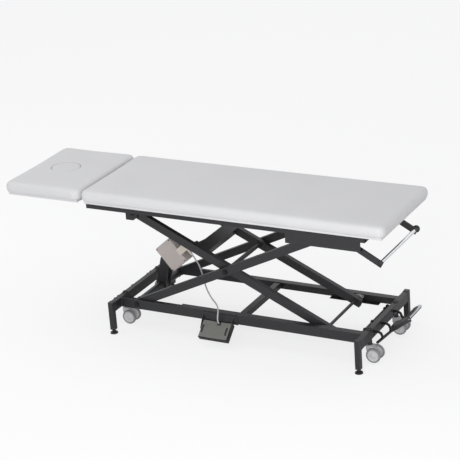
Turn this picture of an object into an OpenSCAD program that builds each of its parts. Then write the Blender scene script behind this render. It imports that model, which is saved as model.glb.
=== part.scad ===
/* [Overall] */
// Length over both cushions
total_l = 2000; // [1900:10:2100]
// Width of the cushions
cushion_w = 560; // [540:10:700]
// Thickness of the cushions with their boards
cushion_t = 70; // [60:1:90]
// Length of the head cushion
head_l = 425; // [380:5:460]
// Gap between the head cushion and the main cushion
cushion_gap = 8; // [8:1:14]
// Radius of the cushion corners seen from above
corner_r = 34; // [24:1:45]
// Radius of the cushion's upper and lower edges
edge_r = 22; // [12:1:24]
// How far the cushion's sides pull in half way between the corners
side_pull = 3; // [2:0.5:6]
// Rise of the cushion's middle over its edges
crown = 3; // [1:0.5:5]
// Length of the face opening
face_l = 150; // [130:5:170]
// Width of the face opening
face_w = 140; // [110:5:160]

/* [Base frame] */
// Length of the base over its end tubes
base_l = 1322; // [1280:2:1360]
// Distance that the main cushion reaches past the base's foot end
foot_overhang = 127; // [110:1:150]
// Spacing of the legs across the table
leg_span = 584; // [560:2:620]
// Width of the square legs
leg_w = 25; // [22:1:30]
// Height of a leg's lower end over the floor
leg_clear = 21; // [19:1:26]
// Height of the side rails' top over the floor
rail_top = 161; // [158:1:170]
// Height of the side rails and end tubes
rail_h = 48; // [48:1:52]
// Half of the base's width over the side rails
rail_y = 222; // [222:1:228]
// Depth of the side rails' flanges
flange_w = 33; // [30:1:35]
// Wall of the rails and roller channels
wall = 3; // [2.5:0.25:3.5]
// Width of the end tubes
end_tube_w = 25; // [25:1:30]
// Wall of the end tubes
tube_wall = 2; // [2:0.25:2.5]
// Width of the tube across the middle of the base
mid_tube_w = 30; // [25:1:40]

/* [Lift] */
// Length of a scissor arm between its pivots
arm_l = 1090; // [1060:2:1100]
// Height of a scissor arm
arm_h = 40; // [36:1:44]
// Width of a scissor arm
arm_w = 25; // [22:1:26]
// Angle of the arms over the floor in the photographed position
lift_angle = 25; // [23:0.5:27]
// Half of the distance between the outer arms' outer faces
outer_y = 207; // [205:0.5:207]
// Half of the distance between the inner arms' outer faces
inner_y = 175; // [172:0.5:176]
// Length of an arm past its pivot
arm_end = 32; // [26:1:36]
// Distance from the base's head end to the lower pivots
pivot_inset = 113; // [108:1:125]
// Diameter of the pivot pins
pin_d = 16; // [14:0.5:18]
// Diameter of the shaft through the arms' crossing
centre_d = 22; // [20:1:26]
// Diameter of the rollers' axles
axle_d = 15; // [12:0.5:16]
// Width of a roller
roller_w = 20; // [16:1:20]
// Diameter of the torsion tube between the outer arms
torsion_d = 42; // [38:1:46]
// Width of the push tube, along the inner arms
push_w = 60; // [50:1:64]
// Distance from the upper pivots to the push tube
push_at = 384; // [370:1:392]

/* [Top frame] */
// Height of the top rails
top_rail_t = 30; // [26:1:34]
// Width of the top rails
top_rail_w = 20; // [18:1:24]
// Half of the top frame's width
top_y = 246; // [244:1:252]
// Thickness of the boards under the cushions
board_t = 12; // [10:1:15]
// Diameter of the paper roll's rod
roll_rod_d = 17; // [15:0.5:18]
// Width of the paper roll's arms
roll_arm_w = 31; // [28:1:32]

/* [Casters] */
// Diameter of the caster wheels
wheel_d = 70; // [60:1:72]
// Gap under the raised wheels
wheel_clear = 6; // [5:1:14]
// Half of the distance between the casters
caster_y = 158; // [150:1:165]
// Distance from a caster's stem to its axle
trail = 25; // [20:1:26]
// Diameter of a caster's stem
stem_d = 14; // [12:0.5:15]
// Distance from the lift shaft to the stems
lever_arm = 50; // [48:1:52]
// Height of the lift shafts over the floor
shaft_z = 122; // [121:1:124]
// Diameter of the lift shafts
shaft_d = 10; // [8:0.5:11]

/* [Electrics] */
// Length of the control box
box_l = 141; // [130:1:150]
// Height of the control box
box_h = 108; // [100:1:112]
// Depth of the control box
box_d = 70; // [60:1:70]
// Length of the foot switch
switch_l = 156; // [140:2:170]
// Depth of the foot switch
switch_w = 90; // [80:1:95]
// Diameter of the foot switch's cable
cable_d = 7; // [6:0.5:8]

/* [Hidden] */
$fn = 48;

black = [0.2, 0.2, 0.21];
dark = [0.13, 0.13, 0.14];
white_vinyl = [0.85, 0.85, 0.87];
beige = [0.65, 0.62, 0.6];
pale_grey = [0.72, 0.72, 0.74];
steel = [0.75, 0.76, 0.78];
NEAR = -1;
FAR = 1;

// Running clearance of a pin in its bore, on the radius
run_fit = 0.05;
// Clearance between faces of pieces that move past each other
face_gap = 0.3;

// Places along the table: the origin is under the middle of the cushions
foot_x = total_l / 2 - foot_overhang;
head_x = foot_x - base_l;
end_tube_x = [head_x + end_tube_w / 2, foot_x - end_tube_w / 2];
base_mid = (head_x + foot_x) / 2;
rail_bottom = rail_top - rail_h;
web_in = rail_y - wall;
flange_in = rail_y - flange_w;
leg_x = [head_x + leg_w / 2, foot_x - leg_w / 2];

// Scissor points
pivot_x = head_x + pivot_inset;
pivot_z = rail_bottom + rail_h / 2;
span = arm_l * cos(lift_angle);
rise = arm_l * sin(lift_angle);
top_pivot_z = pivot_z + rise;
roller_x = pivot_x + span;
cross_x = pivot_x + span / 2;
cross_z = pivot_z + rise / 2;
outer_in = outer_y - arm_w;
inner_in = inner_y - arm_w;
roller_d = rail_h - 2 * wall - 2 * face_gap;
// The rollers' places at the highest and lowest settings
lift_up = 12.5;
lift_down = 13;
roller_x_min = pivot_x + arm_l * cos(lift_angle + lift_up);
roller_x_max = pivot_x + arm_l * cos(lift_angle - lift_down);
channel_over = 6;
low_channel = [roller_x_min - roller_d / 2 - channel_over, roller_x_max + roller_d / 2 + channel_over];
// The outer arms pass beside the narrow part of the near flange when the table is low
lip_from = pivot_x + 108;
flange_from = pivot_x + 240;
lip_in = outer_y + 1.5;

// Top frame heights
top_web = rail_h;
channel_bottom = top_pivot_z - top_web / 2;
channel_top = channel_bottom + top_web;
top_rail_z = channel_top;
board_z = top_rail_z + top_rail_t;
cushion_top = board_z + cushion_t;
top_channel_y = top_y - 5.5;
up_channel = [roller_x_min - roller_d / 2 - channel_over, foot_x - 1];
top_flange_in = outer_y + 1.5;
main_l = total_l - head_l - cushion_gap;
main_x = total_l / 2 - main_l;
top_rail_x = [main_x + 14, total_l / 2 - 104];
board_inset = 16;
cross_member_x = [cross_x - 98, top_rail_x[1] - 456];

// Actuator points: rear pin on the levers, front pin on the push tube's lugs
rear_pin = [pivot_x + 33, pivot_z + 138];
push_c = [pivot_x + push_at * cos(lift_angle), top_pivot_z - push_at * sin(lift_angle)];
front_pin = [push_c[0] - 45, push_c[1] - 15];
act_y = 45;
act_angle = atan2(front_pin[1] - rear_pin[1], front_pin[0] - rear_pin[0]);
act_len = norm([front_pin[0] - rear_pin[0], front_pin[1] - rear_pin[1]]);
act_tube_d = 40;
act_rod_d = 22;
act_tube_l = 205;
lug_t = 6;
eye_w = 22;
eye_pin_d = 8;

// Control box: turned beside the actuator
box_turn = 40;
box_c = [pivot_x + 118, -60 + box_d / 2, pivot_z + 208];
gland_l = 34;
gland_h = 40;

// Caster lift
stem_x = end_tube_x;
shaft_x = [stem_x[0] - lever_arm, stem_x[1] - lever_arm];
wheel_z = wheel_clear + wheel_d / 2;
wheel_w = 13;
wheel_gap = 36;
rest_tilt = 14;
swing = 13.7;
lever_pin_z = shaft_z + lever_arm * tan(rest_tilt);
lever_pin_d = 6;
lever_t = 4;
lever_off = 13;
crank_r = 28;
crank_lean = swing / 2;
link_y = -90;
link_pin = [crank_r * sin(crank_lean), shaft_z - crank_r * cos(crank_lean)];
hook_y = [98, -41, -135];
hook_t = 7;
bar_x = foot_x + 42;
stem_top = rail_top + 3;
yoke_top = 84;

// Foot switch: hung on the near rail's outer face
switch_x = base_mid - 99.5;
switch_tilt = 40;
switch_top = [-rail_y - 5, rail_top - rail_h - 1];
switch_t = 24;
// Where the cable enters the switch, along the table from its middle
grommet_x = 10.5;

// Head section
hinge_x = main_x - cushion_gap / 2;
hinge_z = board_z - 9;
hinge_y = 170;
hinge_pin_d = 8;
face_x = -total_l / 2 + 186;
plug_gap = 0.8;

// Paper roll holder
roll_x = foot_x + 76;
roll_z = channel_bottom - 57;
roll_y = 200;

// The cable's route from the control box's gland to the foot switch
cable_route = [[-97.8, -60, 363.8], [-91, -60, 355.7], [-82, -63.5, 346.5], [-71, -69, 337],
    [-58, -76, 328], [-46, -84, 314], [-34, -94, 299], [-22, -105, 284],
    [-8, -120, 266], [6, -135, 249], [20, -147, 232], [36, -158, 217], [54, -171, 205],
    [72, -184, 198.5], [90, -198, 193.5], [104, -211, 187.5], [114.5, -224, 178],
    [120, -236, 166.5], [122.5, -245, 154], [123, -249, 142], [123, -249, 131],
    [123, -246, 120.7], [123, -238.4, 111.6]];

module bar_y(d, y0, y1) {
    translate([0, y0, 0]) rotate([-90, 0, 0]) cylinder(d = d, h = y1 - y0);
}

module tube_y(d, bore, y0, y1) {
    difference() {
        bar_y(d, y0, y1);
        bar_y(bore, y0 - 1, y1 + 1);
    }
}

module box_from(a, b) {
    translate(a) cube([b[0] - a[0], b[1] - a[1], b[2] - a[2]]);
}

// A plate drawn in x and z, standing between two places in y
module plate_xz(y0, y1) {
    translate([0, y1, 0]) rotate([90, 0, 0]) linear_extrude(y1 - y0) children();
}

// A flat strip between two points with round ends
module strip(a, b, w) {
    d = norm(b - a);
    translate(a) rotate(atan2(b[1] - a[1], b[0] - a[0])) {
        translate([0, -w / 2]) square([d, w]);
        circle(d = w);
        translate([d, 0]) circle(d = w);
    }
}

// Where a band's left edge passes each point of its middle line
function unit(v) = v / norm(v);
function left_of(v) = [-v[1], v[0]];
function band_edge(p, w) = [for (i = [0:len(p) - 1]) let(
    n0 = left_of(unit(p[max(i, 1)] - p[max(i, 1) - 1])),
    n1 = left_of(unit(p[min(i, len(p) - 2) + 1] - p[min(i, len(p) - 2)])),
    m = unit(n0 + n1)) p[i] + m * w / (m * n1)];

// A flat band of even width through several points, cut square at its ends
module band(p, w) {
    n = len(p);
    right = band_edge(p, -w / 2);
    polygon(concat(band_edge(p, w / 2), [for (i = [0:n - 1]) right[n - 1 - i]]));
}

module side_rail(side) {
    color(black) difference() {
        union() {
            mirror_y(side) {
                box_from([head_x + end_tube_w, web_in, rail_bottom],
                    [foot_x - end_tube_w, rail_y, rail_top]);
                box_from([lip_from, lip_in, rail_top - wall], [flange_from, rail_y, rail_top]);
                box_from([flange_from, flange_in, rail_top - wall],
                    [foot_x - end_tube_w, rail_y, rail_top]);
                box_from([low_channel[0], flange_in, rail_bottom],
                    [low_channel[1], rail_y, rail_bottom + wall]);
                translate([pivot_x, 0, pivot_z]) bar_y(pin_d, outer_in - 2, web_in + 1);
                translate([pivot_x, 0, pivot_z]) bar_y(pin_d + 14, outer_y + face_gap, web_in + 1);
            }
        }
    }
}

module mirror_y(side) {
    if (side == NEAR) mirror([0, 1, 0]) children();
    else children();
}

// An end tube: bored for the caster stems and slotted for the levers and pedal hooks
module cross_tube(x, hooks) {
    half = leg_span / 2 - leg_w / 2;
    in_w = end_tube_w - 2 * tube_wall;
    slot_lo = rail_bottom + tube_wall;
    slot_hi = rail_top - 13;
    difference() {
        box_from([x - end_tube_w / 2, -half, rail_bottom], [x + end_tube_w / 2, half, rail_top]);
        box_from([x - in_w / 2, -half - 1, rail_bottom + tube_wall],
            [x + in_w / 2, half + 1, rail_top - tube_wall]);
        for (s = [NEAR, FAR])
            translate([x, s * caster_y, rail_bottom - 1])
                cylinder(d = stem_d + 2 * run_fit + 0.2, h = rail_h + 2);
        for (s = [NEAR, FAR])
            box_from([x - end_tube_w, s * (caster_y - lever_off) - lever_t / 2 - 1, slot_lo],
                [x - in_w / 2 + 1, s * (caster_y - lever_off) + lever_t / 2 + 1, slot_hi]);
        for (y = hooks)
            box_from([x - end_tube_w, y - hook_t / 2 - 1, slot_lo],
                [x + end_tube_w, y + hook_t / 2 + 1, slot_hi]);
    }
}

module head_cross_tube() color(black) cross_tube(end_tube_x[0], []);
module foot_cross_tube() color(black) cross_tube(end_tube_x[1], hook_y);

module mid_cross_tube() {
    color(black) difference() {
        box_from([base_mid - mid_tube_w / 2 + 14, -web_in, rail_top - wall - mid_tube_w],
            [base_mid + mid_tube_w / 2 + 14, web_in, rail_top - wall]);
        box_from([base_mid - mid_tube_w / 2 + 14 + tube_wall, -rail_y,
            rail_top - wall - mid_tube_w + tube_wall],
            [base_mid + mid_tube_w / 2 + 14 - tube_wall, rail_y, rail_top - wall - tube_wall]);
    }
}

module legs() {
    nut_w = 17;
    color(black) for (x = leg_x, s = [NEAR, FAR]) translate([x, s * leg_span / 2, 0]) {
        difference() {
            translate([-leg_w / 2, -leg_w / 2, leg_clear]) cube([leg_w, leg_w, rail_top - leg_clear]);
            translate([-leg_w / 2 + tube_wall, -leg_w / 2 + tube_wall, leg_clear + 12])
                cube([leg_w - 2 * tube_wall, leg_w - 2 * tube_wall, rail_top]);
            translate([0, 0, leg_clear - 1]) cylinder(d = 10 + 2 * run_fit, h = 20);
        }
        color(dark) translate([-leg_w / 2, -leg_w / 2, rail_top])
            cube([leg_w, leg_w, 3]);
    }
}

// A levelling foot: a disc on a threaded stud with its lock nut
module level_foot(x, s) {
    disc_t = 6;
    stud_d = 10;
    color(dark) translate([x, s * leg_span / 2, 0]) {
        cylinder(d1 = 38, d2 = 36, h = disc_t);
        cylinder(d = 18, h = disc_t + 3);
        cylinder(d = stud_d, h = leg_clear + 30);
        translate([0, 0, disc_t + 5]) cylinder(d = 19, h = 7, $fn = 6);
    }
}

module foot_head_near() level_foot(leg_x[0], NEAR);
module foot_head_far() level_foot(leg_x[0], FAR);
module foot_foot_near() level_foot(leg_x[1], NEAR);
module foot_foot_far() level_foot(leg_x[1], FAR);

// Guide rings for the stems, in the end tubes' lower and upper walls
module stem_guides() {
    ring_d = 20;
    color(dark) for (x = stem_x, s = [NEAR, FAR]) translate([x, s * caster_y, 0]) {
        difference() {
            union() {
                translate([0, 0, rail_bottom - 8]) cylinder(d = ring_d, h = 8);
                translate([0, 0, rail_top - tube_wall - 15]) cylinder(d = ring_d, h = 15);
            }
            cylinder(d = stem_d + 2 * run_fit, h = rail_top + 10);
        }
    }
}

// Bearing plates that carry the two lift shafts on the end tubes
module shaft_brackets() {
    plate_t = 5;
    color(black) for (i = [0, 1], y = [-178, -10, 173]) difference() {
        plate_xz(y, y + plate_t) difference() {
            union() {
                translate([shaft_x[i], shaft_z]) circle(d = shaft_d + 10);
                translate([shaft_x[i], shaft_z - 6]) square([lever_arm - end_tube_w / 2, 14]);
            }
            translate([shaft_x[i], shaft_z]) circle(d = shaft_d + 2 * run_fit);
        }
    }
}

module switch_hanger() {
    half = switch_l / 2;
    top_edge = rail_top - 6;
    color(dark) {
        box_from([switch_x - half - 3, -rail_y - 2.5, rail_bottom - 3.5],
            [switch_x + half + 27, -rail_y, top_edge]);
        for (dx = [-half - 3, half])
            translate([switch_x + dx, 0, 0]) rotate([90, 0, 90]) linear_extrude(3)
                polygon([[-rail_y - 2.5, top_edge - 8], [-rail_y - 2.5, rail_bottom - 14],
                    [-rail_y - 22, rail_bottom - 30], [-rail_y - 42, rail_bottom - 30]]);
    }
}

// A scissor arm: a square tube with bushes, turned about its first pivot
module arm(side, from, angle, y0, solid_end, bores) {
    mirror_y(side) translate([from[0], 0, from[1]]) rotate([0, -angle, 0]) difference() {
        union() {
            difference() {
                translate([-arm_end, y0, -arm_h / 2]) cube([arm_l + 2 * arm_end, arm_w, arm_h]);
                translate([solid_end ? -arm_end - 1 : -arm_end + wall, y0 + wall, -arm_h / 2 + wall])
                    cube([arm_l + 2 * arm_end - wall + 1, arm_w - 2 * wall, arm_h - 2 * wall]);
            }
            for (b = bores) translate([b[0], 0, 0]) bar_y(b[1] + 8, y0 + 1, y0 + arm_w - 1);
        }
        for (b = bores) translate([b[0], 0, 0]) bar_y(b[1] + 2 * run_fit, y0 - 1, y0 + arm_w + 1);
    }
}

// The outer arms carry the upper rollers on stub axles
module outer_arm(side) {
    color(black) {
        arm(side, [pivot_x, pivot_z], lift_angle, outer_in, true, [[0, pin_d], [arm_l / 2, centre_d]]);
        mirror_y(side) translate([roller_x, 0, top_pivot_z]) {
            bar_y(axle_d, outer_in + 1, outer_y + 31);
            bar_y(axle_d + 8, outer_y, outer_y + 4.5);
        }
    }
}

module outer_arm_near() outer_arm(NEAR);
module outer_arm_far() outer_arm(FAR);

module inner_arm(side) {
    color(black) arm(side, [pivot_x, top_pivot_z], -lift_angle, inner_in, false,
        [[0, pin_d], [arm_l / 2, centre_d], [arm_l, axle_d]]);
}

module inner_arm_near() inner_arm(NEAR);
module inner_arm_far() inner_arm(FAR);

module rail_near() side_rail(NEAR);
module rail_far() side_rail(FAR);

module torsion_tube() {
    color(black) translate([pivot_x, 0, pivot_z])
        tube_y(torsion_d, torsion_d - 8, -outer_in, outer_in);
}

// Twin plates on the torsion tube that carry the actuator's rear pin and the control box
module actuator_levers() {
    gap = act_tube_d / 2 + 1;
    box_arm_y = box_c[1] + box_d / 2;
    color(black) {
        for (s = [-1, 1]) plate_xz(act_y + s * (gap + lug_t / 2) - lug_t / 2,
            act_y + s * (gap + lug_t / 2) + lug_t / 2) difference() {
            union() {
                strip([pivot_x, pivot_z], rear_pin, 50);
                translate([pivot_x, pivot_z]) circle(d = torsion_d + 14);
            }
            translate([pivot_x, pivot_z]) circle(d = torsion_d);
        }
        translate([rear_pin[0], 0, rear_pin[1]])
            bar_y(eye_pin_d, act_y - gap - lug_t - 3, act_y + gap + lug_t + 3);
        plate_xz(box_arm_y, act_y - gap - lug_t)
            translate([rear_pin[0] + 12, rear_pin[1] - 4]) rotate(20) square([16, 34]);
        plate_xz(box_arm_y, box_arm_y + 4)
            strip([rear_pin[0] + 14, rear_pin[1] + 6], [box_c[0] + 10, box_c[2]], 60);
    }
}

// Places a piece in the control box's own directions: out of its upper side, down its length
module at_box() {
    translate([box_c[0], 0, box_c[2]]) rotate([0, -box_turn, 0]) children();
}

module control_box() {
    r = 6;
    color(beige) at_box() difference() {
        translate([0, box_c[1] + box_d / 2, 0]) rotate([90, 0, 0]) linear_extrude(box_d)
            round_square(box_h, box_l, r);
        translate([0, box_c[1] - box_d / 2 + 16, 0]) rotate([90, 0, 0]) linear_extrude(1.2)
            difference() {
                square([box_h + 2, box_l + 2], center = true);
                round_square(box_h - 2, box_l - 2, r - 1);
            }
    }
}

module round_square(w, h, r) {
    difference() {
        square([w, h], center = true);
        for (sx = [-1, 1], sy = [-1, 1]) translate([sx * w / 2, sy * h / 2]) difference() {
            square([2 * r, 2 * r], center = true);
            translate([-sx * r, -sy * r]) circle(r = r);
        }
    }
}

// The cable's socket on the control box, with its strain relief
module box_gland() {
    reach = 50;
    color(pale_grey) at_box() {
        box_from([box_h / 2, -73, -30], [box_h / 2 + reach + 8, -47, 5]);
        translate([box_h / 2 + reach, -60, -62.4]) cylinder(d1 = cable_d + 4, d2 = cable_d + 8, h = 32.4);
    }
}

module push_tube() {
    h = 40;
    lug_y = max(eye_w, act_rod_d) / 2 + 1;
    color(black) {
        translate([pivot_x, 0, top_pivot_z]) rotate([0, lift_angle, 0]) difference() {
            translate([push_at - push_w / 2, -inner_in, -h / 2]) cube([push_w, 2 * inner_in, h]);
            translate([push_at - push_w / 2 + wall, -inner_in - 1, -h / 2 + wall])
                cube([push_w - 2 * wall, 2 * inner_in + 2, h - 2 * wall]);
        }
        difference() {
            for (s = [-1, 1]) plate_xz(act_y + s * (lug_y + lug_t / 2) - lug_t / 2,
                act_y + s * (lug_y + lug_t / 2) + lug_t / 2)
                strip(front_pin, [push_c[0] - 12, push_c[1] + 2], 38);
            translate([pivot_x, 0, top_pivot_z]) rotate([0, lift_angle, 0])
                translate([push_at - push_w / 2 + 1, -inner_in, -h / 2 + 1])
                    cube([push_w, 2 * inner_in, h - 2]);
        }
    }
}

// A shaft across the table with collars against the inner arms
module cross_shaft(x, z, d, half) {
    translate([x, 0, z]) {
        bar_y(d, -half, half);
        for (s = [NEAR, FAR]) mirror_y(s) bar_y(d + 12, inner_in - 8, inner_in);
    }
}

module lower_axle() {
    color(steel) {
        cross_shaft(roller_x, pivot_z, axle_d, 217);
        translate([roller_x, 0, pivot_z])
            for (s = [NEAR, FAR]) mirror_y(s) bar_y(axle_d + 7, inner_y + 0.4, outer_y - 12);
    }
}

module centre_shaft() {
    color(steel) {
        cross_shaft(cross_x, cross_z, centre_d, outer_y + 1);
        translate([cross_x, 0, cross_z]) for (s = [NEAR, FAR]) mirror_y(s) {
            bar_y(centre_d + 8, inner_y + 0.4, outer_in - 0.4);
            bar_y(centre_d + 8, outer_y + 0.4, outer_y + 3);
        }
    }
}

module roller_pair(x, z, y0, w) {
    color(pale_grey) translate([x, 0, z]) for (s = [NEAR, FAR]) mirror_y(s)
        tube_y(roller_d, axle_d + 2 * run_fit, y0, y0 + w);
}

module lower_rollers() roller_pair(roller_x, pivot_z, outer_y - 11.5, roller_w);
module upper_rollers() roller_pair(roller_x, top_pivot_z, outer_y + 5, roller_w + 3);

// Places a piece along the actuator's axis, from its rear pin
module at_actuator() {
    translate([rear_pin[0], act_y, rear_pin[1]]) rotate([0, 90 - act_angle, 0]) children();
}

module actuator_housing() {
    bore = act_rod_d + 2 * run_fit;
    color(dark) at_actuator() difference() {
        union() {
            translate([0, 0, 18]) cylinder(d = act_tube_d, h = act_tube_l - 18);
            translate([-12, -9, 0]) cube([24, 18, 20]);
            rotate([90, 0, 0]) translate([0, 0, -9]) cylinder(d = 24, h = 18);
        }
        rotate([90, 0, 0]) translate([0, 0, -20]) cylinder(d = eye_pin_d + 2 * run_fit, h = 40);
        translate([0, 0, 40]) cylinder(d = bore, h = act_tube_l);
    }
}

module actuator_rod() {
    rod_from = 112;
    color(steel) at_actuator() {
        difference() {
            union() {
                translate([0, 0, rod_from]) cylinder(d = act_rod_d, h = act_len - rod_from - 8);
                translate([0, 0, act_len]) rotate([90, 0, 0])
                    translate([0, 0, -eye_w / 2]) cylinder(d = 24, h = eye_w);
            }
            translate([0, 0, act_len]) rotate([90, 0, 0])
                translate([0, 0, -eye_w]) cylinder(d = eye_pin_d + 0.1, h = 2 * eye_w);
        }
    }
}

module top_rail(side) {
    color(black) mirror_y(side) difference() {
        box_from([top_rail_x[0], top_y - top_rail_w, top_rail_z], [top_rail_x[1], top_y, board_z]);
        box_from([top_rail_x[0] - 1, top_y - top_rail_w + 2, top_rail_z + 2],
            [top_rail_x[1] + 1, top_y - 2, board_z - 2]);
    }
}

module top_rail_near() top_rail(NEAR);
module top_rail_far() top_rail(FAR);

module top_cross_members() {
    in_y = top_y - top_rail_w;
    leaf_w = 24;
    color(black) {
        for (x = [top_rail_x[0], pivot_x - 64, cross_member_x[0], cross_member_x[1],
            top_rail_x[1] - 92, top_rail_x[1] - 25])
            difference() {
                box_from([x, -in_y, top_rail_z], [x + 25, in_y, board_z]);
                box_from([x + 2, -in_y - 1, top_rail_z + 2], [x + 23, in_y + 1, board_z - 2]);
            }
        for (s = [NEAR, FAR]) {
            for (k = [-1, 1]) plate_xz(s * hinge_y + k * (leaf_w / 2 + 2.9) - 2.5,
                s * hinge_y + k * (leaf_w / 2 + 2.9) + 2.5) {
                translate([hinge_x, hinge_z]) circle(d = 18);
                translate([hinge_x, hinge_z - 6]) square([top_rail_x[0] - hinge_x, 12]);
            }
            translate([hinge_x, s * hinge_y, hinge_z])
                bar_y(hinge_pin_d, -leaf_w / 2 - 4, leaf_w / 2 + 4);
        }
    }
}

module roller_channels() {
    color(black) for (s = [NEAR, FAR]) mirror_y(s) {
        box_from([up_channel[0], top_channel_y, channel_bottom],
            [up_channel[1], top_channel_y + wall, channel_top]);
        for (z = [channel_bottom, channel_top - wall])
            box_from([up_channel[0], top_flange_in, z], [up_channel[1], top_channel_y + wall, z + wall]);
    }
}

module pivot_brackets() {
    color(black) for (s = [NEAR, FAR]) mirror_y(s) {
        for (y = [inner_in - 8, inner_y + 1.5]) plate_xz(y, y + 6)
            polygon([[pivot_x - 39, top_pivot_z - 38], [pivot_x + 1, top_pivot_z - 38],
                [pivot_x + 24, top_pivot_z - 22], [pivot_x + 24, board_z], [pivot_x - 39, board_z]]);
        translate([pivot_x, 0, top_pivot_z]) bar_y(pin_d, inner_in - 10, inner_y + 10);
    }
}

module board(x0, x1) {
    half = cushion_w / 2 - board_inset;
    box_from([x0 + board_inset, -half, board_z], [x1 - board_inset, half, board_z + board_t]);
}

// Corner points of a rounded outline, with points along its sides drawn in
function outline(a, b, r, pull) = let(
    c = [[a - r, b - r], [r - a, b - r], [r - a, r - b], [a - r, r - b]],
    inward = [[0, -1], [1, 0], [0, 1], [-1, 0]]) [
    for (k = [0:3]) each concat(
        [for (i = [0:6]) c[k] + r * [cos(90 * k + 15 * i), sin(90 * k + 15 * i)]],
        let(p = c[k] + r * [cos(90 * k + 90), sin(90 * k + 90)],
            q = c[(k + 1) % 4] + r * [cos(90 * k + 90), sin(90 * k + 90)])
        [for (i = [1:5]) p + (q - p) * i / 6 + inward[k] * pull * sin(30 * i)])];

// A padded cushion from stacked outlines: rounded lower and upper edges and a crowned top
module pad(x0, x1, z0, z1) {
    low_r = edge_r + 3;
    top = z1 - crown;
    turn = [0, 30, 60, 90];
    rings = concat(
        [for (t = turn) [low_r * (1 - sin(t)), z0 + low_r * (1 - cos(t)), 1]],
        [for (t = turn) [edge_r * (1 - cos(t)), top - edge_r * (1 - sin(t)), 1]],
        [for (f = [0.85, 0.6, 0.3]) [edge_r, top + crown * (1 - f * f), f]]);
    a = (x1 - x0) / 2;
    b = cushion_w / 2;
    pts = [for (g = rings) let(o = outline(a - g[0], b - g[0], max(corner_r - g[0], 6), side_pull))
        for (p = o) [p[0] * g[2], p[1] * g[2], g[1]]];
    n = 48;
    m = len(rings);
    faces = concat([[for (i = [0:n - 1]) i]],
        [for (j = [0:m - 2], i = [0:n - 1]) each let(i2 = (i + 1) % n)
            [[j * n + i, (j + 1) * n + i, (j + 1) * n + i2], [j * n + i, (j + 1) * n + i2, j * n + i2]]],
        [[for (i = [0:n - 1]) (m - 1) * n + n - 1 - i]]);
    translate([(x0 + x1) / 2, 0, 0]) polyhedron(points = pts, faces = faces);
}

module face_shape(extra) {
    scale([(face_l / 2 + extra) / 100, (face_w / 2 + extra) / 100]) circle(r = 100);
}

module main_board() color(dark) board(main_x, total_l / 2);

module main_cushion() {
    color(white_vinyl) difference() {
        pad(main_x, total_l / 2, board_z + 2, cushion_top);
        board(main_x, total_l / 2);
    }
}

module head_board() {
    color(dark) difference() {
        board(-total_l / 2, -total_l / 2 + head_l);
        translate([face_x, 0, board_z - 1]) linear_extrude(board_t + 2) face_shape(-9);
    }
}

module head_cushion() {
    color(white_vinyl) difference() {
        pad(-total_l / 2, -total_l / 2 + head_l, board_z + 2, cushion_top);
        board(-total_l / 2, -total_l / 2 + head_l);
        translate([face_x, 0, board_z - 1]) linear_extrude(cushion_t + 10) face_shape(0);
    }
}

module face_plug() {
    color(white_vinyl) translate([face_x, 0, board_z + board_t]) {
        linear_extrude(cushion_t - board_t - 7) face_shape(-plug_gap);
        translate([0, 0, cushion_t - board_t - 7]) linear_extrude(4) face_shape(-plug_gap - 3);
    }
}

module head_hinge_leaves() {
    leaf_w = 24;
    reach = 130;
    color(black) for (s = [NEAR, FAR]) difference() {
        plate_xz(s * hinge_y - leaf_w / 2, s * hinge_y + leaf_w / 2) {
            translate([hinge_x, hinge_z]) circle(d = 18);
            translate([hinge_x - reach, board_z - 6]) square([reach, 6]);
        }
        translate([hinge_x, 0, hinge_z])
            bar_y(hinge_pin_d + 2 * run_fit, s * hinge_y - leaf_w, s * hinge_y + leaf_w);
    }
}

// Flat arms under the frame's foot end, bored for the rod of a paper roll
module roll_arms() {
    t = 6;
    root = top_rail_x[1] - 79.5;
    elbow = [root, top_rail_z - 35];
    color(black) for (s = [NEAR, FAR]) mirror_y(s) difference() {
        plate_xz(top_flange_in - t, top_flange_in) difference() {
            band([[root, top_rail_z + 10], elbow, [roll_x + 9, roll_z - 8]], roll_arm_w);
            translate([root - 50, top_rail_z]) square([100, 50]);
        }
        translate([roll_x, 0, roll_z]) bar_y(roll_rod_d + 2 * run_fit, roll_y, roll_y + 20);
    }
}

module roll_rod() {
    color(steel) translate([roll_x, 0, roll_z]) bar_y(roll_rod_d, -roll_y - 9, roll_y + 12);
}

// The roll rod's knob at the far end and its cap at the near end
module roll_knob() {
    color(dark) translate([roll_x, 0, roll_z]) {
        bar_y(roll_rod_d + 8, -roll_y - 12.5, -roll_y - 9);
        bar_y(34, roll_y + 12, roll_y + 29);
        bar_y(28, roll_y + 29, roll_y + 32);
    }
}

// A fork on a lift shaft, around a stem's pin
module lift_lever(x) {
    translate([x, 0, shaft_z]) rotate([0, -rest_tilt, 0]) difference() {
        union() {
            translate([0, -lever_t / 2, -6.2]) cube([57, lever_t, 12.4]);
            bar_y(20, -lever_t / 2, lever_t / 2);
        }
        translate([46, -lever_t, -lever_pin_d / 2 - 0.25]) cube([20, 2 * lever_t, lever_pin_d + 0.5]);
    }
}

module lift_shaft(x) {
    translate([x, 0, shaft_z]) bar_y(shaft_d, -181, 181);
    for (s = [NEAR, FAR]) translate([0, s * (caster_y - lever_off), 0]) lift_lever(x);
    plate_xz(link_y - 9, link_y - 3) strip([x, shaft_z], [x + link_pin[0], link_pin[1]], 18);
    translate([x + link_pin[0], 0, link_pin[1]]) {
        bar_y(8, link_y - 9, link_y + 5);
        bar_y(12, link_y + 3.3, link_y + 5);
    }
}

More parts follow.
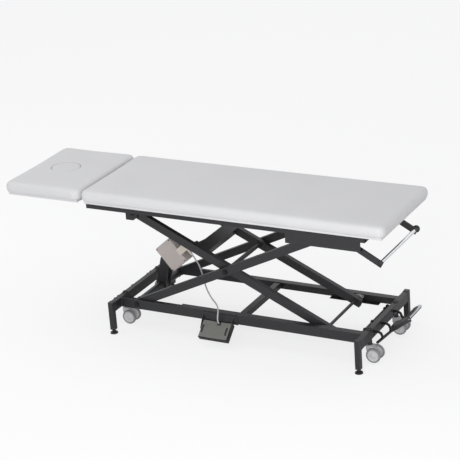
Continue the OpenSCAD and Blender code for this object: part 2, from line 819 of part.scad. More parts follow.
module pedal_lever() {
    sx = shaft_x[1];
    path = [[sx, shaft_z], [foot_x, 140], [foot_x + 19, 143], [foot_x + 35, 135], [foot_x + 42, 118]];
    ends = [[foot_x + 76, 107], [foot_x + 41, 106], [foot_x + 31, 101]];
    color(black) {
        lift_shaft(sx);
        for (k = [0:2]) plate_xz(hook_y[k] - hook_t / 2, hook_y[k] + hook_t / 2)
            band(concat(path, [ends[k]]), 10);
        translate([0, 0, 99]) linear_extrude(8)
            band([[foot_x + 29, -170], [foot_x + 41, -41], [foot_x + 76, 101]], 11);
        box_from([foot_x + 70, 76, 106], [foot_x + 81, 245, 116]);
    }
}

module pedal_tread() {
    color(steel) box_from([foot_x + 66, 72, 116], [foot_x + 84, 249, 119]);
}

module head_lift_shaft() color(black) lift_shaft(shaft_x[0]);

module link_rod() {
    color(black) difference() {
        plate_xz(link_y - 2.7, link_y + 3) strip([shaft_x[0] + link_pin[0], link_pin[1]],
            [shaft_x[1] + link_pin[0], link_pin[1]], 14);
        for (x = shaft_x) translate([x + link_pin[0], 0, link_pin[1]])
            bar_y(8 + 2 * run_fit, link_y - 10, link_y + 10);
    }
}

module stem_pair(x) {
    spigot_d = 10;
    color(steel) for (s = [NEAR, FAR]) {
        translate([x, s * caster_y, 0]) {
            translate([0, 0, yoke_top + face_gap]) cylinder(d = stem_d, h = stem_top - yoke_top - face_gap);
            translate([0, 0, yoke_top - 12]) cylinder(d = spigot_d, h = 14);
        }
        mirror_y(s) translate([x, 0, lever_pin_z])
            bar_y(lever_pin_d, caster_y - lever_off - lever_t / 2 - 1.5, caster_y);
    }
}

module foot_stems() stem_pair(stem_x[1]);
module head_stems() stem_pair(stem_x[0]);

// A caster's body between its two wheels, with its axle
module yoke(i, s) {
    axle_d = 10;
    web = wheel_gap / 2 - 1;
    half = wheel_gap / 2 + wheel_w;
    crown = yoke_top - wheel_z - 9;
    color(pale_grey) translate([stem_x[i], s * caster_y, 0]) difference() {
        union() {
            translate([0, 0, yoke_top - crown]) cylinder(d = 2 * web, h = crown);
            plate_xz(-web, web) {
                strip([4, yoke_top - 20], [trail, wheel_z], 32);
                translate([-web + 3, yoke_top - 22]) square([2 * web, 20]);
            }
            translate([trail, 0, wheel_z]) bar_y(axle_d, -half, half);
        }
        translate([0, 0, yoke_top - 13]) cylinder(d = 10 + 2 * run_fit, h = 20);
    }
}

module yoke_head_near() yoke(0, NEAR);
module yoke_head_far() yoke(0, FAR);
module yoke_foot_near() yoke(1, NEAR);
module yoke_foot_far() yoke(1, FAR);

module wheels(i, s) {
    color(dark) translate([stem_x[i] + trail, s * caster_y, wheel_z]) for (k = [NEAR, FAR]) mirror_y(k)
        tube_y(wheel_d, 10 + 2 * run_fit, wheel_gap / 2, wheel_gap / 2 + wheel_w);
}

module wheels_head_near() wheels(0, NEAR);
module wheels_head_far() wheels(0, FAR);
module wheels_foot_near() wheels(1, NEAR);
module wheels_foot_far() wheels(1, FAR);

// Places a piece on the foot switch: along the table, down its slope, out of its face
module on_switch() {
    translate([switch_x, switch_top[0], switch_top[1]]) rotate([switch_tilt, 0, 0])
        mirror([0, 1, 0]) children();
}

module switch_base() {
    rim = 8;
    top_rim = 18;
    pocket = 10;
    color(dark) on_switch() difference() {
        union() {
            box_from([-switch_l / 2, 0, -switch_t], [switch_l / 2, switch_w, 0]);
            translate([grommet_x, 9, -2]) cylinder(d = cable_d + 6, h = 9);
        }
        box_from([-switch_l / 2 + rim, top_rim, -pocket], [switch_l / 2 - rim, switch_w - rim, 1]);
        translate([0, 0, -2]) bar_y(5 + 2 * run_fit, top_rim - 6, switch_w - rim + 6);
    }
}

module switch_pads() {
    color([0.43, 0.43, 0.41]) on_switch() {
        box_from([-switch_l / 2 + 10, 20, -5], [switch_l / 2 - 10, switch_w - 10, 1]);
        translate([0, 0, -2]) bar_y(5, 13, switch_w - 3);
    }
}

// The foot switch's cable: a round section carried along its route
module switch_cable() {
    n = 8;
    m = len(cable_route);
    pts = [for (i = [0:m - 1]) let(
        a = cable_route[max(i - 1, 0)],
        b = cable_route[min(i + 1, m - 1)],
        t = (b - a) / norm(b - a),
        u0 = cross(t, [1, 0, 0]),
        u = u0 / norm(u0),
        v = cross(t, u))
        for (k = [0:n - 1])
            cable_route[i] + cable_d / 2 * (u * cos(360 * k / n) + v * sin(360 * k / n))];
    faces = concat([[for (k = [0:n - 1]) k]],
        [for (i = [0:m - 2], k = [0:n - 1]) each let(k2 = (k + 1) % n)
            [[i * n + k, (i + 1) * n + k, (i + 1) * n + k2], [i * n + k, (i + 1) * n + k2, i * n + k2]]],
        [[for (k = [0:n - 1]) (m - 1) * n + n - 1 - k]]);
    color(pale_grey) polyhedron(points = pts, faces = faces);
}

rail_near();
rail_far();
head_cross_tube();
foot_cross_tube();
mid_cross_tube();
legs();
stem_guides();
shaft_brackets();
switch_hanger();
foot_head_near();
foot_head_far();
foot_foot_near();
foot_foot_far();
outer_arm_near();
outer_arm_far();
torsion_tube();
actuator_levers();
control_box();
box_gland();
inner_arm_near();
inner_arm_far();
push_tube();
lower_axle();
centre_shaft();
lower_rollers();
upper_rollers();
actuator_housing();
actuator_rod();
top_rail_near();
top_rail_far();
top_cross_members();
roller_channels();
pivot_brackets();
main_board();
main_cushion();
roll_arms();
roll_rod();
roll_knob();
head_hinge_leaves();
head_board();
head_cushion();
face_plug();
pedal_lever();
pedal_tread();
head_lift_shaft();
link_rod();
foot_stems();
head_stems();
yoke_head_near();
yoke_head_far();
yoke_foot_near();
yoke_foot_far();
wheels_head_near();
wheels_head_far();
wheels_foot_near();
wheels_foot_far();
switch_base();
switch_pads();
switch_cable();
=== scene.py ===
import math
import bmesh
import bpy
from mathutils import Matrix, Vector


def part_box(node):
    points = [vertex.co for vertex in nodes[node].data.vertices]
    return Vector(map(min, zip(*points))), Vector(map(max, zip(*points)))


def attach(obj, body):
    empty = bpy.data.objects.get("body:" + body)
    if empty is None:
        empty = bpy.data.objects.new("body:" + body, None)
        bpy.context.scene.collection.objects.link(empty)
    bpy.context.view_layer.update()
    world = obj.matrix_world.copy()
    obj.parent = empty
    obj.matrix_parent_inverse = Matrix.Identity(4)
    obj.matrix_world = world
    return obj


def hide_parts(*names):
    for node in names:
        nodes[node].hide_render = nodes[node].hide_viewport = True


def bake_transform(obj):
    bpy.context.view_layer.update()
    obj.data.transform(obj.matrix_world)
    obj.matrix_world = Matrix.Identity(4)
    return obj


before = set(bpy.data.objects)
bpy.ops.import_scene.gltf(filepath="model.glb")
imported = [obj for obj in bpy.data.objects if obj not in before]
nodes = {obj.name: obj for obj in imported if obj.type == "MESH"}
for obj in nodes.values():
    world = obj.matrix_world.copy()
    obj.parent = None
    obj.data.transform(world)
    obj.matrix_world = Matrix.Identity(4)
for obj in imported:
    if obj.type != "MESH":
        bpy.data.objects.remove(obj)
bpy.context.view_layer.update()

scene = bpy.context.scene
scene.view_settings.view_transform = "Standard"

# Camera: a long lens from the foot end's near side, a little above the table,
# with the slight tilt of the picture to one side.
eye = Vector((3.7142, -6.5143, 3.4491))
aim = Vector((0.0870, 0.0, 0.4914))
back = (eye - aim).normalized()
level = Vector((0, 0, 1)).cross(back).normalized()
upright = back.cross(level)
roll = math.radians(-4.31)
right = level * math.cos(roll) + upright * math.sin(roll)
above = upright * math.cos(roll) - level * math.sin(roll)
lens = bpy.data.cameras.new("camera")
lens.lens = 131.7
lens.sensor_width = 36
lens.clip_end = 100
camera = bpy.data.objects.new("camera", lens)
camera.matrix_world = Matrix((right, above, back)).transposed().to_4x4()
camera.matrix_world.translation = eye
scene.collection.objects.link(camera)
scene.camera = camera

# Cable to the foot switch: a grey round flex with a moulded sheath. It leaves the control
# box's socket, hangs to the near rail, goes over it and down into the switch.
cable_route = [(-97.8, -60, 363.8), (-91, -60, 355.7), (-82, -63.5, 346.5), (-71, -69, 337), (-58, -76, 328),
               (-46, -84, 314), (-34, -94, 299), (-22, -105, 284), (-8, -120, 266), (6, -135, 249),
               (20, -147, 232), (36, -158, 217), (54, -171, 205), (72, -184, 198.5), (90, -198, 193.5),
               (104, -211, 187.5), (114.5, -224, 178), (120, -236, 166.5), (122.5, -245, 154),
               (123, -249, 142), (123, -249, 131), (123, -246, 120.7), (123, -238.4, 111.6)]
cable_d = 0.007


def new_piece(name, mesh, body=None, material=None):
    piece = bpy.data.objects.new(name, mesh)
    scene.collection.objects.link(piece)
    if material:
        mesh.materials.append(material)
    if body:
        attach(piece, body)
    return piece


def smooth_line(points, steps):
    """Points in metres on the rounded line through the given points, which are in millimetres."""
    p = [Vector(q) / 1000 for q in points]
    line = []
    for i in range(len(p) - 1):
        a, b = p[i], p[i + 1]
        before = p[i - 1] if i else a * 2 - b
        after = p[i + 2] if i + 2 < len(p) else b * 2 - a
        for k in range(steps):
            t = k / steps
            line.append(0.5 * (2 * a + (b - before) * t + (2 * before - 5 * a + 4 * b - after) * t * t
                               + (3 * a - before - 3 * b + after) * t ** 3))
    line.append(p[-1])
    return line


def round_bar(name, line, radius, sides=16):
    """A bar of round section along a line, closed at both ends."""
    bm = bmesh.new()
    side = None
    rings = []
    for i, point in enumerate(line):
        way = (line[min(i + 1, len(line) - 1)] - line[max(i - 1, 0)]).normalized()
        if side is None:
            side = way.orthogonal()
        side = (side - way * side.dot(way)).normalized()
        other = way.cross(side)
        r = radius(i / (len(line) - 1)) if callable(radius) else radius
        rings.append([bm.verts.new(point + r * (side * math.cos(a) + other * math.sin(a)))
                      for a in (2 * math.pi * k / sides for k in range(sides))])
    close_round(bm, rings)
    return finished(bm, name)


def close_round(bm, loops):
    """Joins each loop of points to the next with faces, and closes both ends."""
    for lower, upper in zip(loops, loops[1:]):
        for k in range(len(lower)):
            j = (k + 1) % len(lower)
            bm.faces.new((lower[k], lower[j], upper[j], upper[k]))
    bm.faces.new(loops[0][::-1])
    bm.faces.new(loops[-1])


def finished(bm, name, sharp=35):
    """Turns built faces outwards and gives back the mesh, smooth but for its sharp edges."""
    bmesh.ops.remove_doubles(bm, verts=bm.verts, dist=1e-6)
    bmesh.ops.recalc_face_normals(bm, faces=bm.faces)
    mesh = bpy.data.meshes.new(name)
    bm.to_mesh(mesh)
    bm.free()
    mesh.shade_smooth()
    mesh.set_sharp_from_angle(angle=math.radians(sharp))
    return mesh


def effect(name, inputs, output, kind):
    """Starts a shader node group with named number inputs and one output."""
    tree = bpy.data.node_groups.new(name, "ShaderNodeTree")
    for label, value in inputs:
        socket = tree.interface.new_socket(label, in_out="INPUT", socket_type="NodeSocketFloat")
        socket.default_value = value
    tree.interface.new_socket(output, in_out="OUTPUT", socket_type=kind)
    return tree, tree.nodes.new("NodeGroupInput"), tree.nodes.new("NodeGroupOutput")


def add_node(tree, kind, values=None, operation=None):
    """Adds a node to a tree, and sets its operation and the values of its inputs."""
    made = tree.nodes.new(kind)
    if operation:
        made.operation = operation
    for label, value in (values or {}).items():
        made.inputs[label].default_value = value
    return made


# The sockets of a Mix node that mixes two colours
mix_factor, mix_first, mix_second, mixed = 0, 6, 7, 2


def colour_mix(tree, first=None, second=None):
    """Adds a node that mixes two colours."""
    mix = tree.nodes.new("ShaderNodeMix")
    mix.data_type = "RGBA"
    if first:
        mix.inputs[mix_first].default_value = first
    if second:
        mix.inputs[mix_second].default_value = second
    return mix


# Fine grain: the small waves of paint, moulded plastic or vinyl, for a Bump node's height.
grain, grain_in, grain_out = effect("fine grain", [("Scale", 900), ("Roughness", 0.5)], "Height",
                                    "NodeSocketFloat")
grain_place = add_node(grain, "ShaderNodeTexCoord")
grain_waves = add_node(grain, "ShaderNodeTexNoise", {"Detail": 3})
grain.links.new(grain_place.outputs["Object"], grain_waves.inputs["Vector"])
grain.links.new(grain_in.outputs["Scale"], grain_waves.inputs["Scale"])
grain.links.new(grain_in.outputs["Roughness"], grain_waves.inputs["Roughness"])
grain.links.new(grain_waves.outputs["Fac"], grain_out.inputs["Height"])

# Edge wear and painted highlight: a broken mask along the outer edges, where paint thins and
# plastic polishes, and where the lighter colour also stands in for the highlight that rounded
# edges catch. An edge is where the rounded direction of the surface turns away from the face's own.
wear_and_highlight, wear_and_highlight_in, wear_and_highlight_out = effect("edge wear", [("Radius", 0.0015), ("Amount", 0.5)], "Mask",
                                 "NodeSocketFloat")
wear_and_highlight_rounded = add_node(wear_and_highlight, "ShaderNodeBevel")
wear_and_highlight_rounded.samples = 4
wear_and_highlight_face = add_node(wear_and_highlight, "ShaderNodeNewGeometry")
wear_and_highlight_turn = add_node(wear_and_highlight, "ShaderNodeVectorMath", operation="DOT_PRODUCT")
wear_and_highlight_edge = add_node(wear_and_highlight, "ShaderNodeMapRange", {"From Min": 0.995, "From Max": 0.8})
wear_and_highlight_place = add_node(wear_and_highlight, "ShaderNodeTexCoord")
wear_and_highlight_noise = add_node(wear_and_highlight, "ShaderNodeTexNoise", {"Scale": 60, "Detail": 4})
wear_and_highlight_broken = add_node(wear_and_highlight, "ShaderNodeMath", operation="MULTIPLY")
wear_and_highlight_share = add_node(wear_and_highlight, "ShaderNodeMath", operation="MULTIPLY")
wear_and_highlight.links.new(wear_and_highlight_in.outputs["Radius"], wear_and_highlight_rounded.inputs["Radius"])
wear_and_highlight.links.new(wear_and_highlight_rounded.outputs["Normal"], wear_and_highlight_turn.inputs[0])
wear_and_highlight.links.new(wear_and_highlight_face.outputs["Normal"], wear_and_highlight_turn.inputs[1])
wear_and_highlight.links.new(wear_and_highlight_turn.outputs["Value"], wear_and_highlight_edge.inputs["Value"])
wear_and_highlight.links.new(wear_and_highlight_place.outputs["Object"], wear_and_highlight_noise.inputs["Vector"])
wear_and_highlight.links.new(wear_and_highlight_edge.outputs["Result"], wear_and_highlight_broken.inputs[0])
wear_and_highlight.links.new(wear_and_highlight_noise.outputs["Fac"], wear_and_highlight_broken.inputs[1])
wear_and_highlight.links.new(wear_and_highlight_broken.outputs["Value"], wear_and_highlight_share.inputs[0])
wear_and_highlight.links.new(wear_and_highlight_in.outputs["Amount"], wear_and_highlight_share.inputs[1])
wear_and_highlight.links.new(wear_and_highlight_share.outputs["Value"], wear_and_highlight_out.inputs["Mask"])


def colour(r, g, b):
    """A colour as it is named on a screen, from 0 to 255, as light."""
    shares = (c / 255 for c in (r, g, b))
    return tuple(c / 12.92 if c < 0.0404 else ((c + 0.055) / 1.055) ** 2.4 for c in shares) + (1,)


def finish_of(name, base, lighter, rough, grain_scale, bump, patches=6, metal=0.0, wear_and_highlight_amount=0.5,
              wear_and_highlight_radius=0.0012):
    """A material with slow patches of colour, lighter edges that are partly wear and partly a painted
    highlight, uneven gloss and a fine grain.
    """
    mat = bpy.data.materials.new(name)
    mat.use_nodes = True
    tree = mat.node_tree
    shader = tree.nodes["Principled BSDF"]
    place = add_node(tree, "ShaderNodeTexCoord")
    patch = add_node(tree, "ShaderNodeTexNoise", {"Scale": patches, "Detail": 5})
    darker, brighter = (tuple(min(1, c * share) for c in base[:3]) + (1,) for share in (0.93, 1.05))
    tint = colour_mix(tree, darker, brighter)
    edges = tree.nodes.new("ShaderNodeGroup")
    edges.node_tree = wear_and_highlight
    edges.inputs["Radius"].default_value = wear_and_highlight_radius
    edges.inputs["Amount"].default_value = wear_and_highlight_amount
    # Painted highlight and wear: the edge mask mixes the lighter colour into the edges.
    worn_and_highlit = colour_mix(tree, second=lighter)
    gloss = add_node(tree, "ShaderNodeMapRange", {"To Min": rough * 0.88, "To Max": min(1, rough * 1.12)})
    fine = tree.nodes.new("ShaderNodeGroup")
    fine.node_tree = grain
    fine.inputs["Scale"].default_value = grain_scale
    relief = add_node(tree, "ShaderNodeBump", {"Strength": bump, "Distance": 0.0006})
    link = tree.links.new
    link(place.outputs["Object"], patch.inputs["Vector"])
    link(patch.outputs["Fac"], tint.inputs[mix_factor])
    link(edges.outputs["Mask"], worn_and_highlit.inputs[mix_factor])
    link(tint.outputs[mixed], worn_and_highlit.inputs[mix_first])
    link(worn_and_highlit.outputs[mixed], shader.inputs["Base Color"])
    link(patch.outputs["Fac"], gloss.inputs["Value"])
    link(gloss.outputs["Result"], shader.inputs["Roughness"])
    link(fine.outputs["Height"], relief.inputs["Height"])
    link(relief.outputs["Normal"], shader.inputs["Normal"])
    shader.inputs["Metallic"].default_value = metal
    return mat


flex_grey = finish_of("grey flex sheath", colour(176, 176, 178), colour(190, 190, 192), 0.5, 700, 0.15,
                      wear_and_highlight_amount=0)
cable_line = smooth_line(cable_route, 5)
cable = new_piece("cable", round_bar("cable", cable_line, cable_d / 2), material=flex_grey)
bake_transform(cable)
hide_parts("switch_cable")

# The studio: a wide pale floor, an even pale surround, and soft lamps from the near side
# and above that leave the tops a little darker than the sides.
surround = bpy.data.worlds.new("surround")
scene.world = surround
surround.use_nodes = True
surround_tree = surround.node_tree
surround_light = surround_tree.nodes["Background"]
surround_light.inputs["Color"].default_value = (0.99, 0.992, 1, 1)
surround_light.inputs["Strength"].default_value = 0.66
surround_seen = add_node(surround_tree, "ShaderNodeBackground", {"Color": colour(249, 249, 251)})
surround_path = add_node(surround_tree, "ShaderNodeLightPath")
surround_either = add_node(surround_tree, "ShaderNodeMath", operation="MAXIMUM")
surround_mix = add_node(surround_tree, "ShaderNodeMixShader")
surround_tree.links.new(surround_path.outputs["Is Camera Ray"], surround_either.inputs[0])
surround_tree.links.new(surround_path.outputs["Is Glossy Ray"], surround_either.inputs[1])
surround_tree.links.new(surround_either.outputs["Value"], surround_mix.inputs[0])
surround_tree.links.new(surround_light.outputs[0], surround_mix.inputs[1])
surround_tree.links.new(surround_seen.outputs[0], surround_mix.inputs[2])
surround_tree.links.new(surround_mix.outputs[0], surround_tree.nodes["World Output"].inputs["Surface"])

# The floor lights the table as pale paint does. The camera sees a darker paint with a glow
# of its own, so that the floor looks white and the table's shadow stays light.
floor_paint = bpy.data.materials.new("pale floor")
floor_paint.use_nodes = True
floor_tree = floor_paint.node_tree
floor_shader = floor_tree.nodes["Principled BSDF"]
floor_shader.inputs["Roughness"].default_value = 0.9
floor_shader.inputs["Specular IOR Level"].default_value = 0.1
floor_glow = add_node(floor_tree, "ShaderNodeEmission", {"Color": (1, 1, 1, 1)})
floor_path = add_node(floor_tree, "ShaderNodeLightPath")
floor_level = add_node(floor_tree, "ShaderNodeMath", {1: 0.745}, "MULTIPLY")
floor_shade = colour_mix(floor_tree, (0.80, 0.80, 0.81, 1), (0.24, 0.24, 0.245, 1))
floor_both = add_node(floor_tree, "ShaderNodeAddShader")
floor_tree.links.new(floor_path.outputs["Is Camera Ray"], floor_shade.inputs[mix_factor])
floor_tree.links.new(floor_shade.outputs[mixed], floor_shader.inputs["Base Color"])
floor_tree.links.new(floor_path.outputs["Is Camera Ray"], floor_level.inputs[0])
floor_tree.links.new(floor_level.outputs["Value"], floor_glow.inputs["Strength"])
floor_tree.links.new(floor_shader.outputs[0], floor_both.inputs[0])
floor_tree.links.new(floor_glow.outputs[0], floor_both.inputs[1])
floor_tree.links.new(floor_both.outputs[0], floor_tree.nodes["Material Output"].inputs["Surface"])
floor_bm = bmesh.new()
bmesh.ops.create_grid(floor_bm, x_segments=4, y_segments=4, size=40)
floor_mesh = bpy.data.meshes.new("floor")
floor_bm.to_mesh(floor_mesh)
floor_bm.free()
floor = new_piece("floor", floor_mesh, material=floor_paint)
floor.location.z = -0.0005


def lamp(name, place, size, power):
    """A square soft lamp that faces the middle of the table. Sizes in metres, power in watts."""
    light = bpy.data.lights.new(name, "AREA")
    light.size = size
    light.energy = power
    o = bpy.data.objects.new(name, light)
    o.location = place
    table_middle = Vector((0.1, 0, 0.4))
    o.rotation_euler = (table_middle - Vector(place)).to_track_quat("-Z", "Y").to_euler()
    scene.collection.objects.link(o)


lamp("near_lamp", (2.0, -4.4, 1.8), 3.0, 117)
lamp("top_lamp", (-2.6, 0.4, 3.8), 2.6, 27)

# Base, scissor arms and top frame: square and flat steel tube and plate, sawn, bent and
# welded, then sprayed with black powder coat and baked. It is a satin black that turns
# dark grey on the faces towards the light.
powder_black = finish_of("black powder coat", colour(37, 37, 39), colour(84, 84, 86), 0.42, 1100, 0.22,
                         wear_and_highlight_amount=0.45)
for name in ("rail_near", "rail_far", "head_cross_tube", "foot_cross_tube", "mid_cross_tube", "legs",
             "shaft_brackets", "outer_arm_near", "outer_arm_far", "inner_arm_near", "inner_arm_far",
             "torsion_tube", "actuator_levers", "push_tube", "top_rail_near", "top_rail_far",
             "top_cross_members", "roller_channels", "pivot_brackets", "roll_arms", "head_hinge_leaves",
             "head_lift_shaft", "link_rod", "centre_shaft", "switch_hanger", "lower_axle", "actuator_rod",
             "foot_stems", "head_stems"):
    nodes[name].material_slots[0].material = powder_black

# Pedal tread: a flat bar of bright drawn steel, sawn to length, rounded at its ends and
# left bare. It is clamped on the pedal.
bright_steel = finish_of("bright drawn steel", colour(186, 188, 191), colour(215, 216, 218), 0.3, 1500, 0.1,
                         metal=1.0, wear_and_highlight_amount=0.3)
nodes["pedal_tread"].material_slots[0].material = bright_steel

# Stem guides, levelling feet, actuator housing, switch case and roll knob: black moulded
# plastic. The guides are pressed into the end tubes, and the feet screw into the legs.
moulded_black = finish_of("black moulded plastic", colour(30, 30, 32), colour(60, 60, 62), 0.5, 1300, 0.3,
                          wear_and_highlight_amount=0.3)
for name in ("stem_guides", "foot_head_near", "foot_head_far", "foot_foot_near", "foot_foot_far",
             "actuator_housing", "switch_base", "roll_knob"):
    nodes[name].material_slots[0].material = moulded_black

# Rollers and caster hoods: pale grey moulded nylon. The rollers run in the channels of
# the rails and turn on the ends of the arms' axles, and each hood turns on its stem.
pale_nylon = finish_of("pale grey nylon", colour(186, 186, 188), colour(204, 204, 206), 0.45, 1000, 0.2,
                       wear_and_highlight_amount=0.3)
for name in ("lower_rollers", "upper_rollers", "yoke_head_near", "yoke_head_far", "yoke_foot_near",
             "yoke_foot_far"):
    nodes[name].material_slots[0].material = pale_nylon

# Boards under the cushions: cut plywood with the vinyl drawn over its edges, and black
# lining cloth stapled over the underside. The main board is screwed to the top frame.
wrapped = finish_of("vinyl over board and black lining", colour(214, 214, 215), colour(222, 222, 223), 0.6,
                    1400, 0.4, patches=3, wear_and_highlight_amount=0.0)
board_tree = wrapped.node_tree
board_shader = board_tree.nodes["Principled BSDF"]
board_face = add_node(board_tree, "ShaderNodeNewGeometry")
board_way = add_node(board_tree, "ShaderNodeSeparateXYZ")
faces_down = -0.7
board_below = add_node(board_tree, "ShaderNodeMath", {1: faces_down}, "LESS_THAN")
board_cloth = colour_mix(board_tree, second=colour(30, 30, 32))
vinyl_colour = board_shader.inputs["Base Color"].links[0].from_socket
board_tree.links.new(board_face.outputs["True Normal"], board_way.inputs[0])
board_tree.links.new(board_way.outputs["Z"], board_below.inputs[0])
board_tree.links.new(board_below.outputs["Value"], board_cloth.inputs[mix_factor])
board_tree.links.new(vinyl_colour, board_cloth.inputs[mix_first])
board_tree.links.new(board_cloth.outputs[mixed], board_shader.inputs["Base Color"])
for name in ("main_board", "head_board"):
    nodes[name].material_slots[0].material = wrapped

# Control box and cable socket: the box is two beige moulded shells with the motor's
# electronics inside, fixed beside the actuator. The socket on it is moulded in pale beige
# and takes the foot switch's cable.
box_beige = finish_of("beige moulded plastic", colour(180, 172, 168), colour(200, 193, 189), 0.5, 1200, 0.25,
                      wear_and_highlight_amount=0.35)
nodes["control_box"].material_slots[0].material = box_beige
socket_beige = finish_of("pale beige plastic", colour(205, 195, 185), colour(220, 212, 204), 0.5, 1200, 0.2,
                         wear_and_highlight_amount=0.3)
nodes["box_gland"].material_slots[0].material = socket_beige

# Foot switch pad: the pressed steel plate that the foot rocks, painted a warm grey. Its edges are
# lighter, partly worn brighter and partly a painted highlight.
pad_grey = finish_of("grey switch paint", colour(109, 110, 105), colour(140, 141, 136), 0.55, 900, 0.3,
                     wear_and_highlight_amount=0.5)
nodes["switch_pads"].material_slots[0].material = pad_grey

# Paper roll rod: a chromed steel tube that turns in the holes of the two flat arms at the
# table's foot end and carries the paper roll.
chrome = finish_of("chrome plate", colour(240, 241, 243), colour(246, 247, 248), 0.24, 600, 0.03, metal=1.0,
                   wear_and_highlight_amount=0.1)
nodes["roll_rod"].material_slots[0].material = chrome

# Cushions: cut foam glued on a board under white vinyl, which is drawn tight over the
# edges and stapled below. The foam pushes the cover out, so the top is slightly crowned.
vinyl = finish_of("white vinyl", colour(214, 214, 215), colour(222, 222, 223), 0.5, 1400, 0.25, patches=3,
                  wear_and_highlight_amount=0.0)
cushion_w = 0.560
cushion_low, cushion_top = (corner.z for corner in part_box("main_cushion"))
board_low, board_top = (corner.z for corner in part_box("main_board"))
corner_r, edge_r, side_pull, crown = 0.034, 0.022, 0.003, 0.003
foam_room, most_swell = 0.002, 0.0025
board_inset, board_play = 0.016, 0.004


def pad_outline(a, b, r):
    """A cushion's outline from above, a by b from its middle, its sides drawn in between the corners."""
    points = []
    middles = [(a - r, b - r), (r - a, b - r), (r - a, r - b), (a - r, r - b)]
    inward = [(0, -1), (1, 0), (0, 1), (-1, 0)]
    for k in range(4):
        turn = [math.radians(90 * k + 7.5 * i) for i in range(13)]
        points += [(middles[k][0] + r * math.cos(t), middles[k][1] + r * math.sin(t)) for t in turn]
        p = points[-1]
        m = middles[(k + 1) % 4]
        q = (m[0] + r * math.cos(turn[-1]), m[1] + r * math.sin(turn[-1]))
        for i in range(1, 12):
            t = i / 12
            pull = side_pull * math.sin(math.pi * t)
            points.append((p[0] + (q[0] - p[0]) * t + inward[k][0] * pull,
                           p[1] + (q[1] - p[1]) * t + inward[k][1] * pull))
    return points


def cushion_block(name, x0, x1):
    """The closed shape of a cushion before the foam swells, smaller all round by foam_room."""
    a, b = (x1 - x0) / 2 - foam_room, cushion_w / 2 - foam_room
    low, top = cushion_low, cushion_top - crown - foam_room
    low_r = edge_r + 0.003
    rings = []
    for t in range(0, 91, 15):
        s = math.radians(t)
        rings.append((low_r * (1 - math.sin(s)), low + low_r * (1 - math.cos(s)), 1))
    for t in range(0, 91, 15):
        s = math.radians(t)
        rings.append((edge_r * (1 - math.cos(s)), top - edge_r * (1 - math.sin(s)), 1))
    for f in (0.9, 0.75, 0.5, 0.25):
        rings.append((edge_r, top + crown * (1 - f * f), f))
    bm = bmesh.new()
    loops = []
    for inset, z, share in rings:
        outline = pad_outline(a - inset, b - inset, max(corner_r - inset, 0.006))
        loops.append([bm.verts.new(((x0 + x1) / 2 + x * share, y * share, z)) for x, y in outline])
    close_round(bm, loops)
    return finished(bm, name)


def applied(piece):
    """Makes a piece with its modifiers a plain mesh."""
    bpy.context.view_layer.update()
    graph = bpy.context.evaluated_depsgraph_get()
    mesh = bpy.data.meshes.new_from_object(piece.evaluated_get(graph))
    piece.modifiers.clear()
    piece.data = mesh
    return piece


def let_foam_swell(piece):
    """Blows the cover out with the foam's pressure, no further than most_swell at any point."""
    last_frame = 20
    before = [v.co.copy() for v in piece.data.vertices]
    cloth = piece.modifiers.new("foam", "CLOTH")
    cloth.settings.quality = 4
    cloth.settings.use_pressure = True
    cloth.settings.uniform_pressure_force = 4
    cloth.settings.effector_weights.gravity = 0
    cloth.point_cache.frame_start = 1
    cloth.point_cache.frame_end = last_frame
    for f in range(1, last_frame + 1):
        scene.frame_set(f)
    graph = bpy.context.evaluated_depsgraph_get()
    swollen = [v.co.copy() for v in piece.evaluated_get(graph).data.vertices]
    piece.modifiers.clear()
    scene.frame_set(1)
    for v, a, b in zip(piece.data.vertices, before, swollen):
        d = b - a
        v.co = a + d * min(1, most_swell / max(d.length, 1e-9))


def cushion(name, node):
    """A covered cushion in the place of its node, with its sides filled out and its top crowned."""
    low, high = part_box(node)
    x0, x1 = low.x, high.x
    piece = new_piece(name, cushion_block(name, x0, x1), material=vinyl)
    remesh = piece.modifiers.new("even mesh", "REMESH")
    remesh.mode = "VOXEL"
    remesh.voxel_size = 0.009
    applied(piece)
    let_foam_swell(piece)
    # The even mesh takes a few millimetres off the sides, which are stretched out again.
    middle, half = (x0 + x1) / 2, (x1 - x0) / 2
    long_side = half / max(abs(v.co.x - middle) for v in piece.data.vertices)
    wide_side = cushion_w / 2 / max(abs(v.co.y) for v in piece.data.vertices)
    for v in piece.data.vertices:
        v.co.x = middle + (v.co.x - middle) * long_side
        v.co.y *= wide_side
    # The cover is flat over the board, which sits in it, and its top is capped.
    board_x = (x0 + board_inset, x1 - board_inset)
    board_y = cushion_w / 2 - board_inset
    near_board = cushion_low + 0.006
    for v in piece.data.vertices:
        if v.co.z < near_board:
            inside = (board_x[0] - board_play < v.co.x < board_x[1] + board_play
                      and abs(v.co.y) < board_y + board_play)
            v.co.z = board_top + 0.0003 if inside else max(v.co.z, cushion_low)
        v.co.z = min(v.co.z, cushion_top + 0.001)
    finer = piece.modifiers.new("finer", "SUBSURF")
    finer.levels = 1
    finer.render_levels = finer.levels
    applied(piece)
    piece.data.shade_smooth()
    return piece


main_cushion = cushion("main_cushion_cover", "main_cushion")
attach(main_cushion, "top_frame")
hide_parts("main_cushion")

# Head cushion: made like the main one on a board of its own, and cut through for the
# face. The vinyl is turned down into the opening, with a rounded lip round it.
head_cushion = cushion("head_cushion_cover", "head_cushion")
face_x, face_l, face_w = -0.814, 0.150, 0.140


def oval_prism(name, steps, sides=96):
    """A closed oval block from steps of (extra radius, height from the cushions' top)."""
    bm = bmesh.new()
    loops = [[bm.verts.new((face_x + (face_l / 2 + e) * math.cos(a), (face_w / 2 + e) * math.sin(a),
                            cushion_top + z))
              for a in (2 * math.pi * k / sides for k in range(sides))] for e, z in steps]
    close_round(bm, loops)
    return finished(bm, name)


